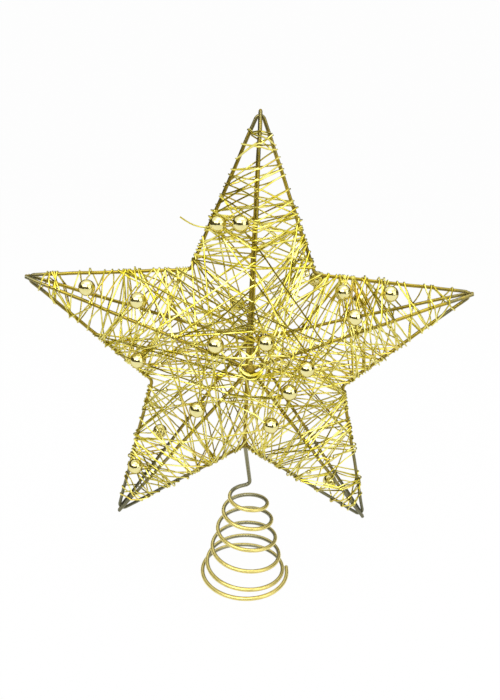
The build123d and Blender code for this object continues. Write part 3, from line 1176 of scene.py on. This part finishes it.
class TOPPER_OT_windings(bpy.types.Operator):
    """Winds the fine wire round the arms and across the middle of the star"""

    bl_idname = "topper.windings"
    bl_label = "Fine Wire Net"

    def execute(self, context):
        material = finished(fine_gilt_wire)
        places = [(place, bead().diameter) for place in large_bead_places().values()]
        places += [(place, bead().small_diameter) for place in small_bead_places()]
        laid = {}
        for arm, name in enumerate(ARM_NAMES):
            chance = random.Random(net().seed * SEED_STEP + arm)
            routes = threaded_routes(even_arm_visits(arm), chance, places)
            sides = [(kind, arm, *ARM_STRETCH) for kind in ("left", "right")]
            visits = free_visits(sides, net().arm_chords, chance, laid, slope=ARM_SLOPE)
            routes.append(wound(visits, chance, places))
            if arm == 0:
                routes.append(loose_end(chance, places))
            piece = wire(f"{name}_arm_net", routes, net().wire_diameter, FINE_SIDES)
            fit(piece, "star", material, f"{name}_arm_winding")
        for first_notch in range(ARM_COUNT):
            chance = random.Random(net().seed * SEED_STEP + CENTRE_SEEDS + first_notch)
            routes = threaded_routes(even_centre_visits(first_notch), chance, places)
            before, near, far, after = [(first_notch + step) % ARM_COUNT for step in range(4)]
            ends = [("right", before), ("left", after)]
            ends += [(kind, arm) for kind in ("left", "right") for arm in (near, far)]
            sides = [(kind, arm, *CENTRE_STRETCH) for kind, arm in ends]
            visits = free_visits(sides, net().centre_chords, chance, laid)
            routes.append(wound(visits, chance, places))
            if first_notch == 0:
                routes.append(apex_hank(chance))
            piece = wire(f"centre_net_{first_notch + 1}", routes, net().wire_diameter, FINE_SIDES)
            fit(piece, "star", material, f"centre_winding_{first_notch + 1}")
        return {"FINISHED"}


def seen_directly(shading):
    """1 for rays from the camera and for mirrored or transmitted ones."""
    outputs = shading.node("ShaderNodeLightPath").socket.node.outputs
    mask = Value(shading, outputs["Is Camera Ray"]) + Value(shading, outputs["Is Glossy Ray"])
    mask = mask + Value(shading, outputs["Is Transmission Ray"])
    return shading.node("ShaderNodeClamp", {0: mask})


def white_floor():
    """White paper that keeps the object's soft shadow."""
    paper_grey = (0.9, 0.9, 0.9, 1.0)
    glow_share = 0.97
    bpy.ops.object.select_all(action="DESELECT")
    bpy.ops.mesh.primitive_plane_add(size=8.0, location=(0, 0, 0))
    floor = bpy.context.object
    floor.name = "white_floor"
    paper = bpy.data.materials.new("white_paper")
    shading = Shading(paper)
    matt = shading.node("ShaderNodeBsdfDiffuse", {"Color": paper_grey})
    glow = shading.node("ShaderNodeEmission", {"Color": WHITE, "Strength": 1.0})
    mask = seen_directly(shading) * glow_share
    surface = shading.node("ShaderNodeMixShader", {0: mask, 1: matt, 2: glow})
    shading.node("ShaderNodeOutputMaterial", {"Surface": surface})
    floor.data.materials.append(paper)


def white_studio():
    """World that looks white and lights the object softly."""
    light_strength, seen_strength = 0.55, 0.985
    world = bpy.data.worlds.new("white_studio")
    bpy.context.scene.world = world
    shading = Shading(world)
    lit = shading.node("ShaderNodeBackground", {"Color": WHITE, "Strength": light_strength})
    seen = shading.node("ShaderNodeBackground", {"Color": WHITE, "Strength": seen_strength})
    surface = shading.node("ShaderNodeMixShader", {0: seen_directly(shading), 1: lit, 2: seen})
    shading.node("ShaderNodeOutputWorld", {"Surface": surface})


def dark_room():
    """Dark wall all round, which shows only in the metal, as a band."""
    wall_colour = (0.09, 0.08, 0.05, 1.0)
    radius, height = 1.7, 1.10
    card = bpy.data.materials.new("dark_card")
    shading = Shading(card)
    surface = shading.node("ShaderNodeBsdfDiffuse", {"Color": wall_colour})
    shading.node("ShaderNodeOutputMaterial", {"Surface": surface})
    bpy.ops.object.select_all(action="DESELECT")
    bpy.ops.mesh.primitive_cylinder_add(
        vertices=64, radius=radius, depth=height, end_fill_type="NOTHING", location=(0, 0, height / 2)
    )
    wall = bpy.context.object
    wall.name = "dark_room"
    bpy.ops.object.transform_apply(location=True, rotation=True, scale=True)
    wall.data.materials.append(card)
    wall.visible_camera = False
    wall.visible_shadow = False
    wall.visible_diffuse = False


def lamp(name, place, size, power):
    """Soft lamp turned to the middle of the star."""
    data = bpy.data.lights.new(name, "AREA")
    data.shape = "RECTANGLE"
    data.size, data.size_y = size
    data.energy = power
    light = bpy.data.objects.new(name, data)
    bpy.context.collection.objects.link(light)
    light.location = place
    light.rotation_euler = (centre() - Vector(place)).to_track_quat("-Z", "Y").to_euler()


def photo_camera():
    """Camera at the photograph's viewing angle."""
    place = Vector((-0.01234, -0.3317, 0.11005))
    sight = Vector((0.0365, 0.9504, -0.3090))
    roll = Matrix.Rotation(math.radians(2.7), 4, "Z")
    view = bpy.data.cameras.new("photo_camera")
    view.sensor_fit = "VERTICAL"
    view.sensor_height = 36.0
    view.lens = 30.8
    view.clip_start = 0.01
    camera = bpy.data.objects.new("photo_camera", view)
    bpy.context.collection.objects.link(camera)
    aim = sight.to_track_quat("-Z", "Y").to_matrix().to_4x4()
    camera.matrix_world = Matrix.Translation(centre() + place) @ aim @ roll
    return camera


class TOPPER_OT_stage(bpy.types.Operator):
    """Sets the white floor and studio, the dark room, the soft lamps and the camera"""

    bl_idname = "topper.stage"
    bl_label = "Stage"

    def execute(self, context):
        white_floor()
        white_studio()
        dark_room()
        for name, settings in LAMPS.items():
            lamp(name, **settings)
        context.scene.camera = photo_camera()
        context.scene.view_settings.view_transform = "Standard"
        return {"FINISHED"}


OPERATORS = [
    TOPPER_OT_stage,
    TOPPER_OT_frame_wires,
    TOPPER_OT_spring,
    TOPPER_OT_stem,
    TOPPER_OT_welds,
    TOPPER_OT_beads,
    TOPPER_OT_windings,
]


class TOPPER_PT_panel(bpy.types.Panel):
    """Lists the pieces of the topper star"""

    bl_idname = "TOPPER_PT_panel"
    bl_label = "Topper Star"
    bl_space_type = "VIEW_3D"
    bl_region_type = "UI"
    bl_category = "Topper Star"

    def draw(self, context):
        for operator in OPERATORS:
            self.layout.operator(operator.bl_idname)


GROUPS = {
    "topper_frame": StarFrameSizes,
    "topper_spring": SpringSizes,
    "topper_net": NetSizes,
    "topper_beads": BeadSizes,
    "topper_finish": Finishes,
}


def register():
    for group in GROUPS.values():
        bpy.utils.register_class(group)
    for name, group in GROUPS.items():
        setattr(bpy.types.Scene, name, PointerProperty(type=group))
    for operator in OPERATORS:
        bpy.utils.register_class(operator)
    bpy.utils.register_class(TOPPER_PT_panel)


def unregister():
    bpy.utils.unregister_class(TOPPER_PT_panel)
    for operator in reversed(OPERATORS):
        bpy.utils.unregister_class(operator)
    for name in GROUPS:
        delattr(bpy.types.Scene, name)
    for group in reversed(list(GROUPS.values())):
        bpy.utils.unregister_class(group)


def main():
    register()
    bpy.ops.topper.stage()
    bpy.ops.topper.frame_wires()
    bpy.ops.topper.spring()
    bpy.ops.topper.stem()
    bpy.ops.topper.welds()
    bpy.ops.topper.beads()
    bpy.ops.topper.windings()


if __name__ == "__main__":
    main()
